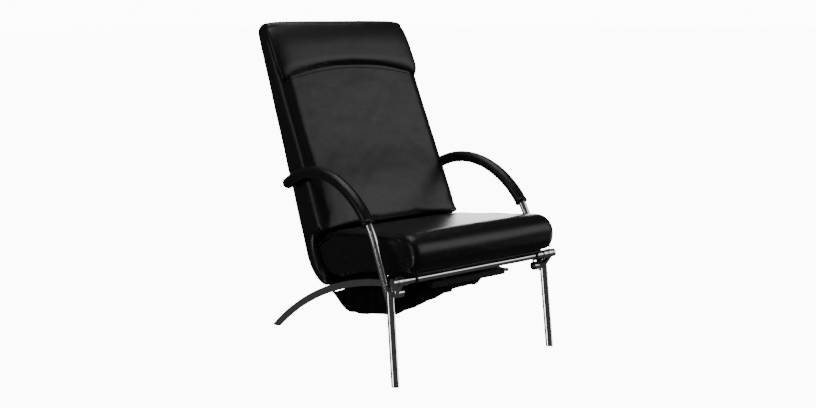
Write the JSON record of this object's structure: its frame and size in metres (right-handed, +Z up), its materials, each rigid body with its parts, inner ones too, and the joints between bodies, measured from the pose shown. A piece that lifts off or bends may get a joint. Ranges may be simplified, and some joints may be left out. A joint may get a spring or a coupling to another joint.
{
  "type": "reclining relax armchair",
  "caption": "Relax armchair on a bent-tube frame, with a padded seat that tilts, a high back that reclines, curved arm sleeves and a release lever.",
  "frame": {"origin": "on the floor under the centre of the chair's bounding box", "axes": "+Z up, the sitter faces -Y, +X to the sitter's left"},
  "size_m": [0.681, 0.9633, 1.091],
  "materials": {
    "chromed_steel": "polished chrome plate on steel tube",
    "bright_washer": "bright turned steel",
    "black_steel": "satin black powder coat",
    "black_leather": "smooth semi-gloss leather, fine grain",
    "black_cloth": "matte woven lining cloth",
    "black_plastic": "satin moulded",
    "black_rubber": "matte",
    "plywood": "birch plywood stained black"
  },
  "bodies": {
    "frame": {"front_leg_left": "chromed_steel", "arm_tube_left": "chromed_steel", "rear_leg_left": "chromed_steel", "arm_sleeve_left": "black_leather", "pivot_lug_left": "chromed_steel", "front_leg_right": "chromed_steel", "arm_tube_right": "chromed_steel", "rear_leg_right": "chromed_steel", "arm_sleeve_right": "black_leather", "pivot_lug_right": "chromed_steel", "front_foot_glides": "black_plastic", "rear_foot_pads": "black_plastic", "lug_bolts": "chromed_steel", "bearing_bushes": "black_plastic", "friction_washers": "bright_washer", "stop_screws": "chromed_steel", "stop_buffers": "black_rubber"},
    "seat": {"crossbar": "chromed_steel", "bar_collars": "chromed_steel", "bar_end_rings": "chromed_steel", "seat_board": "plywood", "front_cross_member": "black_steel", "rear_cross_member": "black_steel", "seat_cushion": "black_leather", "dust_cover": "black_cloth", "gas_spring_cylinder": "black_steel", "valve_block": "black_plastic", "spring_bracket": "black_steel", "mechanism_housing": "black_steel", "housing_posts": "black_steel", "release_cable": "black_plastic", "hanger_left": "black_steel", "hanger_right": "black_steel", "seat_rail_left": "black_steel", "seat_rail_right": "black_steel", "hinge_plate_left": "black_steel", "hinge_plate_right": "black_steel", "seat_side_panel_left": "black_leather", "seat_side_panel_right": "black_leather"},
    "back": {"recline_shaft": "black_steel", "shaft_nuts": "bright_washer", "recline_crank": "black_steel", "crank_pin": "bright_washer", "back_board": "plywood", "back_shell": "black_leather", "back_cushion": "black_leather", "headrest_pillow": "black_leather", "pull_tab": "black_cloth", "recline_arm_left": "black_steel", "recline_arm_right": "black_steel"},
    "rod": {"gas_spring_rod": "bright_washer", "rod_fork": "black_steel"},
    "lever": {"lever_shaft": "bright_washer", "release_lever": "black_plastic"}
  },
  "joints": [
    {"name": "seat_tilt", "type": "hinge", "parent": "frame", "child": "seat", "pos_m": [0, -0.4245, 0.328], "axis": [-1, 0, 0], "range_deg": [0, 10]},
    {"name": "back_recline", "type": "hinge", "parent": "seat", "child": "back", "pos_m": [0, 0.0225, 0.35], "axis": [-1, 0, 0], "range_deg": [0, 20]},
    {"name": "gas_rod_slide", "type": "slide", "parent": "seat", "child": "rod", "axis": [0, -1, 0], "range_m": [-0.001, 0.0402]},
    {"name": "lever_lift", "type": "hinge", "parent": "seat", "child": "lever", "pos_m": [0, -0.3675, 0.282], "axis": [1, 0, 0], "range_deg": [0, 15], "stiffness_Nm_per_rad": 0.4}
  ],
  "couplings": [
    {"joint": "gas_rod_slide", "follows": "back_recline", "m_per_rad": 0.1122}
  ]
}
